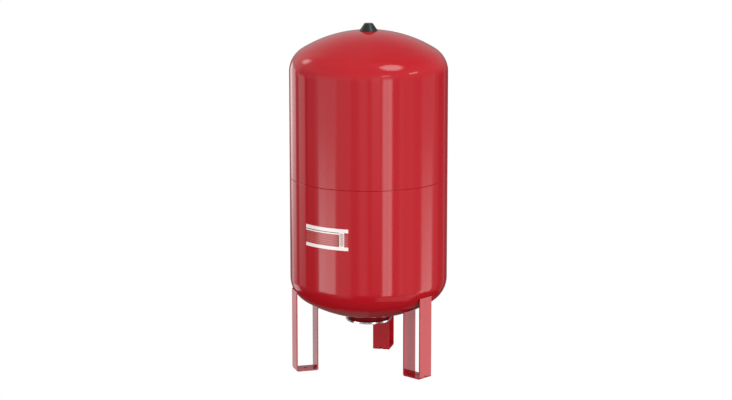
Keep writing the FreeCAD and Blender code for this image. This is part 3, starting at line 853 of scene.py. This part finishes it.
def joined(name, parts, crease):
    """One mesh from several (points, faces) pairs."""
    starts = np.cumsum([0] + [len(points) for points, _ in parts])
    faces = [part_faces + start for (_, part_faces), start in zip(parts, starts)]
    return make_mesh(name, np.concatenate([points for points, _ in parts]),
                     np.concatenate(faces), crease)


beads = [leg_bead(radius, degrees) for degrees in LEG_ANGLES.values()
         for radius in (LEG_OUTER - STRAP, LEG_INNER)]
make_piece(closed_skin(joined("leg_beads", beads, BEAD_CREASE)), "leg_welds")

# %% [markdown]
# ## Flange under the vessel
# A thick collar is welded through the bottom dome. The plated cover closes it,
# clamps the bag's lip in the collar's seat and carries the water connection.

# %% Collar
PLATE, PLATE_RADIUS, PLATE_BEVEL = 8.0, 88, 1.2
PLATE_TOP = BOTTOM_POLE - 9.2
PLATE_BOTTOM = PLATE_TOP - PLATE
SEAT_RADIUS, SEAT_DEPTH = 57.7, 4
SOCKET_RADIUS = 20.5


def ring(count, radius):
    """Places (x, y) spaced evenly round the axis."""
    return [(radius * math.cos(a), radius * math.sin(a)) for a in angles(count)]


BOLTS = ring(6, 65)
# The collar's dull coat is darkened as painted shade under the dome.
collar = turned("neck_collar_turned", "neck_collar", PLATE_TOP, [
    (48, SEAT_DEPTH), (SEAT_RADIUS, SEAT_DEPTH), (SEAT_RADIUS, 0), (COLLAR_RADIUS, 0, 0.8),
    (COLLAR_RADIUS, 18), (48, 18, 1)], 192, finish="shaded_dull_red_paint")
drill(collar, BOLTS, 4.1, PLATE_TOP - 1, PLATE_TOP + 14, 24)

# %% Cover plate
flat_radius = PLATE_RADIUS - PLATE_BEVEL
plate = turned("flange_cover_plated", "flange_cover", PLATE_BOTTOM, [
    (20.6, 0), (flat_radius, 0, 0.6), (PLATE_RADIUS, PLATE_BEVEL, 0.6),
    (PLATE_RADIUS, PLATE - PLATE_BEVEL, 0.6), (flat_radius, PLATE, 0.6), (20.6, PLATE)], 192)
drill(plate, BOLTS, 4.5, PLATE_BOTTOM - 1, PLATE_TOP + 1, 32)

# %% [markdown]
# ## Threads
# A thread is a groove that climbs as it goes round. The radius is a zigzag of
# (height / pitch - turn), with its crests and roots cut flat.


# %% Thread formula
def thread(z, columns, pitch, root, crest):
    """Radius of a thread: rows follow z, columns the angle. The zigzag runs root to crest."""
    turn = np.arange(columns) / columns
    zigzag = np.abs(((z / pitch - turn) % 1) * 2 - 1)
    return root + (crest - root) * np.clip(1.5 * zigzag - 0.25, 0, 1)


def hexagon(columns, across_flats, face_radius):
    """Distance of a hexagon's side from its middle, for evenly spaced angles from a corner.

    The second row is how far a 30 degree cone from face_radius cuts its corners back.
    """
    radius = across_flats / 2 / np.cos(angles(columns) % (math.pi / 3) - math.pi / 6)
    return radius, np.maximum(radius - face_radius, 0) * math.tan(math.radians(30))


# %% Hexagon bolts
def bolt(x, y, columns=48):
    """Head with its corners turned to a cone, then the shank with its thread."""
    side, cone = hexagon(columns, 13.0, 6.5)
    face = np.minimum(side, 6.4)
    z = np.arange(PLATE_BOTTOM + 2, PLATE_BOTTOM + 19.2, 0.3125)[:, None]
    rows = [(0, -5.3), (0.5, -5.3), (5.9, -5.3), (face, -5.2), (side, cone - 5.1),
            (side, -0.3 - 0.4 * cone), (face, 0), (4.0, 0), (4.0, 1.9),
            (thread(z, columns, 1.25, 3.4, 4.0), z - PLATE_BOTTOM), (3.2, 20), (0, 20)]
    points, faces = swung(*stacked(rows, columns, PLATE_BOTTOM), columns, close_rows=False)
    return points + [x, y, 0], faces


make_piece(joined("flange_bolts_threaded", [bolt(x, y) for x, y in BOLTS], 25), "flange_bolts")

# %% Water connection with its G 1 thread
SOCKET_HEIGHT = 20
SOCKET_BOTTOM = PLATE_TOP - SOCKET_HEIGHT
G1_PITCH, G1_ROOT, G1_CREST = 2.309, 16.6, 15.15
columns = 96
z = np.arange(SOCKET_BOTTOM + 1.6, PLATE_TOP - 1.0, G1_PITCH / 8)[:, None]
rows = [(thread(z, columns, G1_PITCH, G1_ROOT, G1_CREST), z - SOCKET_BOTTOM),
        (15.6, SOCKET_HEIGHT - 0.5), (16.1, SOCKET_HEIGHT), (20.1, SOCKET_HEIGHT),
        (SOCKET_RADIUS, SOCKET_HEIGHT - 0.4), (SOCKET_RADIUS, SOCKET_HEIGHT - 1),
        (SOCKET_RADIUS, 1), (SOCKET_RADIUS, 0.5), (20.35, 0.15), (20.0, 0), (17.2, 0), (16.8, 0.3)]
swing_piece("connection_socket_threaded", "connection_socket",
            *stacked(rows, columns, SOCKET_BOTTOM), columns, crease=40)
bead("socket_bead", "socket_weld", fillet(SOCKET_RADIUS, lambda radius: PLATE_BOTTOM, 3, -3),
     44, 0.10, 0.3, 264)

# %% Screen over the socket
SCREEN_RADIUS, SCREEN = 30, 1.5
screen = turned("inlet_screen_pressed", "inlet_screen", PLATE_TOP, [
    (0, 0), (SCREEN_RADIUS, 0), (SCREEN_RADIUS, SCREEN), (0, SCREEN)], 96, closed=False)
drill(screen, ring(4, 9), 4.5, PLATE_TOP - 1, PLATE_TOP + 3, 32)

# %% [markdown]
# ## Rubber bag
# The bag is moulded with tapered ends, hangs free in the vessel and is held by
# its lip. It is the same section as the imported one, with soft corners.

# %% Bag
BAG_SIDE, BAG_WALL = 262.0, 2.5
BAG_NECK, LIP_RADIUS = 47.7, 57.5
lip_top = PLATE_TOP + SEAT_DEPTH
side_low = low_dome(BAG_SIDE, WALL) + 13.7
side_high, bag_top = side_low + 740, side_low + 810
bag_out = np.array([(BAG_NECK, lip_top), (BAG_NECK, BOTTOM_POLE + 14), (BAG_SIDE, side_low),
                    (BAG_SIDE, side_high), (90, bag_top), (0, bag_top)])
bag_in = beside(bag_out, BAG_WALL)
soft = [0.5, 14, 24, 30, 30, 0]
tight = [16.5, 21.5, 27.5, 27.5, 0]
corners = [(*p, s) for p, s in zip(bag_out, soft)][::-1]
corners += [(LIP_RADIUS, lip_top, 0.5), (LIP_RADIUS, PLATE_TOP, 0.5), (45.2, PLATE_TOP, 0.5)]
corners += [(*p, s) for p, s in zip(bag_in[1:], tight)]
turned("bladder_moulded", "bladder", 0, corners, 128, closed=False)

# %% [markdown]
# ## Gas valve
# On top sits a brass valve, like the one of a tyre: a hexagon, a stem, and a
# core with a sprung pin that opens when it is pressed.

# %% Valve heights
BOSS_TOP = TOP_POLE + 8
HEX_BOTTOM = BOSS_TOP + 1
HEX_TOP = HEX_BOTTOM + 3.5
STEM_TOP = HEX_TOP + 6.7
CORE = 16
CORE_BOTTOM = STEM_TOP - 0.8 - CORE
PIN_TOP = STEM_TOP - 0.4
PIN_COLLAR = PIN_TOP - 2.4
PLUG = 1.5
PLUG_BOTTOM = CORE_BOTTOM - 0.05 - PLUG
print("valve from", round(BOSS_TOP, 2), "to", round(STEM_TOP, 2))

# %% Boss and seal
STEM_HOLE = 6.1
turned("valve_boss_turned", "valve_boss", BOSS_TOP, [
    (STEM_HOLE, -18), (BOSS_RADIUS, -18), (BOSS_RADIUS, -0.8), (16.2, 0), (STEM_HOLE, 0)], 96)
turned("valve_seal_flat", "valve_seal", BOSS_TOP, [
    (STEM_HOLE, 0), (8, 0), (8, 1), (STEM_HOLE, 1)], 64, 0.2)

# %% Stem with its hexagon and two threads
columns = 48
side, cone = hexagon(columns, 15.0, 7.4)
face = np.minimum(side, 7.3)
spigot_z = np.arange(BOSS_TOP - 13, BOSS_TOP - 0.5, 0.25)[:, None]
stem_z = np.arange(HEX_TOP + 1.0, STEM_TOP - 0.5, 0.2)[:, None]
room = PLUG_BOTTOM - 2.5
rows = [(1.6, room), (1.6, BOSS_TOP - 14), (5.3, BOSS_TOP - 14),
        (thread(spigot_z, columns, 1.0, 5.5, 6.0), spigot_z), (5.6, HEX_BOTTOM),
        (face, HEX_BOTTOM), (side, HEX_BOTTOM + 0.2 + cone), (side, HEX_TOP - 0.2 - cone),
        (face, HEX_TOP), (4.0, HEX_TOP), (3.6, HEX_TOP + 0.3), (3.6, HEX_TOP + 0.8),
        (thread(stem_z, columns, 0.8, 3.5, 3.85), stem_z), (3.5, STEM_TOP - 0.1),
        (3.3, STEM_TOP), (2.8, STEM_TOP), (2.6, STEM_TOP - 0.3), (2.6, room)]
swing_piece("valve_stem_turned", "valve_stem", *stacked(rows, columns), columns, crease=25)

# %% Core, pin and plug
CORE_FLOOR = 1.5
PIN_RADIUS, PIN_COLLAR_RADIUS, PIN_FOOT_RADIUS = 0.7, 1.7, 1.2
turned("valve_core_turned", "valve_core", CORE_BOTTOM, [
    (0.76, 0), (2.55, 0), (2.55, CORE), (1.9, CORE), (1.9, CORE_FLOOR), (0.76, CORE_FLOOR)],
    48, 0.1)
turned("core_pin_turned", "core_pin", 0, [
    (0, PLUG_BOTTOM - 0.5), (PIN_FOOT_RADIUS, PLUG_BOTTOM - 0.5), (PIN_FOOT_RADIUS, PLUG_BOTTOM),
    (PIN_RADIUS, PLUG_BOTTOM), (PIN_RADIUS, PIN_COLLAR), (PIN_COLLAR_RADIUS, PIN_COLLAR),
    (PIN_COLLAR_RADIUS, PIN_COLLAR + 1), (PIN_RADIUS, PIN_COLLAR + 1), (PIN_RADIUS, PIN_TOP),
    (0, PIN_TOP)], 32, 0.1, closed=False)
turned("core_plug_moulded", "core_plug", PLUG_BOTTOM, [
    (PIN_RADIUS, 0), (2.1, 0), (2.1, PLUG), (PIN_RADIUS, PLUG)], 32, 0.2)

# %% Core spring
def coil(radius, wire, low, high, turns, around=10, per_turn=32):
    """A round wire along a helix: rows follow the helix, columns go round the wire."""
    steps = turns * per_turn + 1
    a = np.linspace(0, 2 * math.pi * turns, steps)[:, None]
    b = angles(around)
    from_end = np.minimum(np.arange(steps), np.arange(steps)[::-1])
    taper = np.clip(from_end / 2, 0.02, 1)[:, None]
    r = radius + wire / 2 * taper * np.cos(b)
    z = low + wire / 2 + (high - low - wire) * a / a.max() + wire / 2 * taper * np.sin(b)
    points = np.stack([r * np.cos(a), r * np.sin(a), z], -1).reshape(-1, 3)
    return points, grid_faces(steps, around, False, True)[:, ::-1]


spring_low = CORE_BOTTOM + CORE_FLOOR + 0.02
mesh = make_mesh("core_spring_wound", *coil(1.3, 0.4, spring_low, PIN_COLLAR - 0.02, 5), 60)
spring = make_piece(closed_skin(mesh), "core_spring")
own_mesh(spring)

# %% Dust cap with its knurl
columns, RIDGES = 180, 30
CAP_DEPTH, CAP_HEIGHT = 7.4, 9.3
knurl = 5.0 - 0.22 * (0.5 - 0.5 * np.cos(RIDGES * angles(columns)))
rows = [(0, CAP_DEPTH), (3.8, CAP_DEPTH), (3.95, CAP_DEPTH - 0.2), (3.95, 0.2), (3.95, 0),
        (4.6, 0), (4.75, 0.2), (knurl, 0.7), (knurl, CAP_HEIGHT - 1.2), (4.6, CAP_HEIGHT - 0.7),
        (4.35, CAP_HEIGHT - 0.3), (3.9, CAP_HEIGHT), (0, CAP_HEIGHT)]
swing_piece("dust_cap_moulded", "dust_cap", *stacked(rows, columns, HEX_TOP + 0.3), columns,
            closed=False, crease=50)
turned("dust_cap_seal_flat", "dust_cap_seal", STEM_TOP, [(0, 0), (3.5, 0), (3.5, 1), (0, 1)],
       48, 0.15, closed=False)

# %% [markdown]
# ## Black cover
# The cover is moulded: a hollow cone with a flat top, and a sleeve inside that
# grips the boss. Its top edge is softly rounded, which is where the light
# catches it in the photo.

# %% Valve cover
COVER_RADIUS, COVER_TOP_RADIUS, COVER_HEIGHT = 34.5, 16.0, 27.5
COVER_WALL, COVER_ROOF = 2.4, 2.2
SLEEVE_IN, SLEEVE_OUT = 17.08, 18.98
inner_radius, roof = COVER_RADIUS - COVER_WALL, COVER_HEIGHT - COVER_ROOF
COVER_BASE = high_dome(inner_radius) + 0.3
slope = (COVER_RADIUS - COVER_TOP_RADIUS) / COVER_HEIGHT


def inside_cone(radius):
    """Height of the cover's inner cone at a radius."""
    return (inner_radius - radius) / slope


sleeve_low = high_dome(BOSS_RADIUS) + 2.7 - COVER_BASE
turned("valve_cover_moulded", "valve_cover", COVER_BASE, [
    (0, roof), (inner_radius - roof * slope, roof, 0.8), (SLEEVE_IN, inside_cone(SLEEVE_IN), 0.4),
    (SLEEVE_IN, sleeve_low), (SLEEVE_OUT, sleeve_low), (SLEEVE_OUT, inside_cone(SLEEVE_OUT), 0.4),
    (inner_radius, 0, 0.5), (COVER_RADIUS, 0, 0.7),
    (COVER_TOP_RADIUS + 0.15 * slope, COVER_HEIGHT - 0.15, 1.8), (0, COVER_HEIGHT)],
    192, closed=False)

# %% [markdown]
# ## The film on the shell
# The film is a grid bent round the shell, 0.15 mm thick, with u along it and v
# up it. The white head and foot of the label are fields of that map.

# %% Label film
GLUE, FILM = 0.10, 0.15
LABEL_CENTRE, LABEL_LENGTH = 250.6, 191.6
LABEL_MIDDLE, LABEL_HEIGHT = 555.8, 81.5


def film_mesh(columns=97, rows=33):
    """Outer and inner grid of a thin film round the tank, joined round its edge."""
    half = math.degrees(LABEL_LENGTH / TANK_RADIUS) / 2
    u, v = np.meshgrid(np.linspace(0, 1, columns), np.linspace(0, 1, rows))
    a = np.radians(LABEL_CENTRE - half + 2 * half * u)
    z = LABEL_MIDDLE + LABEL_HEIGHT * (v - 0.5)
    points = np.concatenate([
        np.stack([radius * np.cos(a), radius * np.sin(a), z], -1).reshape(-1, 3)
        for radius in (TANK_RADIUS + GLUE + FILM, TANK_RADIUS + GLUE)])
    inner = rows * columns
    outside = grid_faces(rows, columns, False, False)
    index = np.arange(inner).reshape(rows, columns)
    border = np.concatenate([index[0, :-1], index[:-1, -1], index[-1, :0:-1], index[:0:-1, 0]])
    following = np.roll(border, -1)
    edge = np.stack([following, border, border + inner, following + inner], -1)
    faces = np.concatenate([outside, (outside + inner)[:, ::-1], edge])
    mesh = make_mesh("rating_label_film", points, faces)
    corner = np.zeros(len(mesh.loops), int)
    mesh.loops.foreach_get("vertex_index", corner)
    place = np.stack([np.tile(u.ravel(), 2), np.tile(v.ravel(), 2)], -1)
    mesh.uv_layers.new(name="film").data.foreach_set("uv", place[corner].ravel())
    return mesh


make_piece(film_mesh(), "rating_label")

# %% [markdown]
# ## Studio
# Gloss shows what stands round it. The photo's tank mirrors tall strips of
# light: a broad one to its left, a narrow bright one right of its middle and a
# soft one near its right edge, with round lamps over and behind the dome. All
# of them stand far away, so the world's shader draws them by direction alone.
# A direction has a turn about the axis, counted from the camera's side, and a
# rise over the level, both in degrees.

# %% Turn and rise of a direction
world = bpy.context.scene.world = bpy.data.worlds.new("room")
tree = empty_tree(world)
direction = add(tree, "TexCoord").outputs["Generated"]
mapped = add(tree, "VectorRotate", {
    "Vector": direction, "Axis": (0, 0, 1), "Angle": -CAMERA_SIDE}).outputs[0]
x, y, z = add(tree, "SeparateXYZ", {0: mapped}).outputs
turn = maths(tree, "DEGREES", maths(tree, "ARCTAN2", y, x))
rise = maths(tree, "DEGREES", maths(tree, "ARCSINE", z))


def flank(tree, high, low, soft):
    """A soft edge: (high - low) / soft + 1/2, kept between 0 and 1."""
    return maths(tree, "ADD", maths(tree, "DIVIDE", maths(tree, "SUBTRACT", high, low), soft), 0.5,
                 clamp=True)


# %% Group: light strip
STRIP_INPUTS = ["From", "To", "Soft", "Foot", "Top", "Foot Soft", "Top Soft", "Glow"]
strip, given, result = new_group(
    "light strip", dict.fromkeys(["Turn", "Rise"] + STRIP_INPUTS, 1.0), "Glow")
strip.links.new(chain(
    strip, "MULTIPLY", flank(strip, given["Turn"], given["From"], given["Soft"]),
    flank(strip, given["To"], given["Turn"], given["Soft"]),
    flank(strip, given["Rise"], given["Foot"], given["Foot Soft"]),
    flank(strip, given["Top"], given["Rise"], given["Top Soft"]), given["Glow"]), result)


def lit(table):
    """Light of each strip of a table."""
    return [use_group(tree, strip, Turn=turn, Rise=rise, **dict(zip(STRIP_INPUTS, row)))
            for row in table.values()]


# %% Strips of light
# From, to and softness of the turn, foot and top of the rise, their softness, and the glow.
STRIPS = {
    "left, broad": (-77.5, -65, 3, -18, -11.8, 5, 3, 3.2),
    "left, broad, nearer": (-65, -49.5, 2.5, -21, -12.0, 6, 3, 2.85),
    "left, broad, upper part": (-78.5, -48, 4, -20, 8, 6, 14, 0.42),
    "left, high": (-99, -48, 4, -12.6, 6, 3, 10, 0.25),
    "left shoulder": (-49, -25.5, 3, -32, 12, 6, 12, 0.30),
    "front left": (-14, -2, 5, -20, 10, 6, 14, 0.40),
    "front": (4.5, 17, 4, -12, 16, 6, 12, 0.66),
    "bright": (20, 34.2, 2.5, -24.3, 6, 3, 9, 2.62),
    "bright, foot": (20, 34.2, 2.5, -24.3, -12, 3, 3, 0.25),
    "bright, left line": (20.5, 26, 2, -24, 4, 3, 6, 0.25),
    "bright, middle line": (29.3, 33, 2, -24, 4, 3, 6, 0.75),
    "bright, upper part": (20, 34.5, 3.5, 6, 16, 9, 8, 0.75),
    "right shoulder": (45, 69, 4, -28, 8, 6, 10, 0.18),
    "right shoulder, line": (45.5, 51, 2, -24, 4, 6, 6, 0.14),
    "right": (83.5, 106, 5, -23, -12.4, 4, 4, 2.5),
    "right, high": (83, 111, 5, -13.4, 4, 3, 8, 0.32),
    "right, foot": (78, 91, 4, -27, -16.5, 4, 6, 0.9),
    "right, low foot": (62, 84, 5, -33, -26, 3, 3, 0.46),
    "behind, left, edge": (-157, -145, 2, -11.5, 2, 3, 5, 2.1),
    "behind, left, lower edge": (-152, -144.5, 3, -16, -11.5, 3, 3, 0.8),
    "behind, left": (-144.5, -131.5, 2, -12.5, 2, 5, 5, 1.35),
    "behind, left, foot": (-152, -127, 5, -25, -16.5, 3, 3, 1.15),
    "behind, left, upper part": (-152, -121, 8, 0, 40, 5, 20, 0.17),
    "left, narrow": (-122, -105.5, 3, -14, -2.5, 6, 8, 0.98),
    "low, right": (14, 80, 8, -50, -28, 6, 6, 0.60),
    "low, behind": (130, 160, 8, -56, -33, 6, 6, 0.12),
    "low, left": (-62, -24, 8, -38, -26, 6, 6, 0.22),
    "low, behind left": (-190, -150, 6, -62, -24, 8, 6, 0.12),
    "low, behind right": (150, 190, 6, -62, -24, 8, 6, 0.06),
    "high, right": (63, 79, 3, 18.6, 22.8, 2, 2, 4.6),
    "high, middle": (19.5, 32, 3, 19.3, 23.6, 2, 2, 3.4),
    "high front": (-110, 40, 20, 42, 82, 15, 10, 0.12),
    "all round": (-200, 200, 1, 7, 34, 10, 20, 0.17),
}

# %% Shades and walls
# The same numbers for each. A glow of 1 would take away all the light of the walls there.
SHADES = {
    "right side": (90, 172, 30, -90, 90, 1, 1, 0.32),
    "far right": (121, 141, 5, -40, -1, 6, 8, 0.66),
    "behind, right": (147, 190, 6, -40, -3, 6, 8, 0.7),
    "behind, left": (-190, -153, 5, -40, -3, 6, 8, 0.5),
    "gap at the left": (-131, -84, 5, -90, -7, 1, 8, 0.6),
    "left side": (-120, -84, 8, -90, 16, 1, 8, 0.35),
    "under the camera": (-30, 40, 8, -60, -13, 8, 6, 0.5),
}
WALLS = 0.46


def ramp(start, end, first, last):
    """Number that goes from first to last while the rise goes from start to end."""
    return add(tree, "MapRange", {0: rise, 1: start, 2: end, 3: first, 4: last}).outputs[0]


walls = chain(
    tree, "MULTIPLY", ramp(-28.0, -22.0, 0.05, 1.0), ramp(35.0, 55.0, 1.0, 0.76), WALLS,
    *[maths(tree, "SUBTRACT", 1.0, shade) for shade in lit(SHADES)])
glow = maths(tree, "ADD", walls, chain(tree, "ADD", *lit(STRIPS)))

# %% Round lamps
# Turn, rise, radius and softness in degrees, and the glow.
LAMPS = {
    "over the dome": (49, 54.5, 13, 5, 4.8),
    "behind the dome": (-127.5, 29, 6.3, 6, 2.9),
}
for lamp_turn, lamp_rise, radius, soft, lamp_glow in LAMPS.values():
    a, b = math.radians(lamp_turn), math.radians(lamp_rise)
    aim = (math.cos(a) * math.cos(b), math.sin(a) * math.cos(b), math.sin(b))
    nearness = add(tree, "VectorMath", {0: mapped, 1: aim}, operation="DOT_PRODUCT")
    away = maths(tree, "DEGREES", maths(tree, "ARCCOSINE", nearness.outputs["Value"]))
    glow = maths(tree, "MULTIPLY_ADD", flank(tree, radius, away, soft), lamp_glow, glow)
print("strips", len(STRIPS), "lamps", len(LAMPS))

# %% [markdown]
# The camera sees plain white paper (the shader's own colour is 0.8 grey, so its
# strength there is 1.25). Matt surfaces get more of the light than mirrors do,
# as if large soft lamps stood where no gloss shows them, and the white paper
# under the tank throws some light back up.

# %% Room light
FILL, HIGH_FILL = 2.08, 1.9 * 2.08
PAPER_GLOW, PAPER_WHITE = 0.5, 1.25
path = add(tree, "LightPath")
soft_light = maths(tree, "ADD", maths(tree, "MULTIPLY", glow, ramp(50.0, 75.0, FILL, HIGH_FILL)),
                   ramp(-50.0, -70.0, 0.0, PAPER_GLOW))
lit_by = add(tree, "Mix", {0: path.outputs["Is Glossy Ray"], 2: soft_light, 3: glow}).outputs[0]
strength = add(tree, "Mix", {0: path.outputs["Is Camera Ray"], 2: lit_by, 3: PAPER_WHITE})
background = add(tree, "Background", {"Strength": strength.outputs[0]})
add(tree, "OutputWorld", {0: background.outputs[0]})

# %% [markdown]
# The floor is white paper as well. In the photo no shadow is left on it, so it
# shines evenly for the camera, and the light from the world passes it.

# %% Floor
FLOOR = 15
floor_mesh = bpy.data.meshes.new("floor")
floor_mesh.from_pydata([(-FLOOR, -FLOOR, 0), (FLOOR, -FLOOR, 0), (FLOOR, FLOOR, 0),
                        (-FLOOR, FLOOR, 0)], [], [(0, 1, 2, 3)])
floor_paper = bpy.data.materials.new("floor_paper")
tree = empty_tree(floor_paper)
add(tree, "OutputMaterial", {0: add(tree, "Emission", {"Strength": 1.0}).outputs[0]})
floor_mesh.materials.append(floor_paper)
floor = new_object("floor", floor_mesh)
floor.visible_diffuse = floor.visible_glossy = floor.visible_shadow = False
floor.visible_transmission = floor.visible_volume_scatter = False
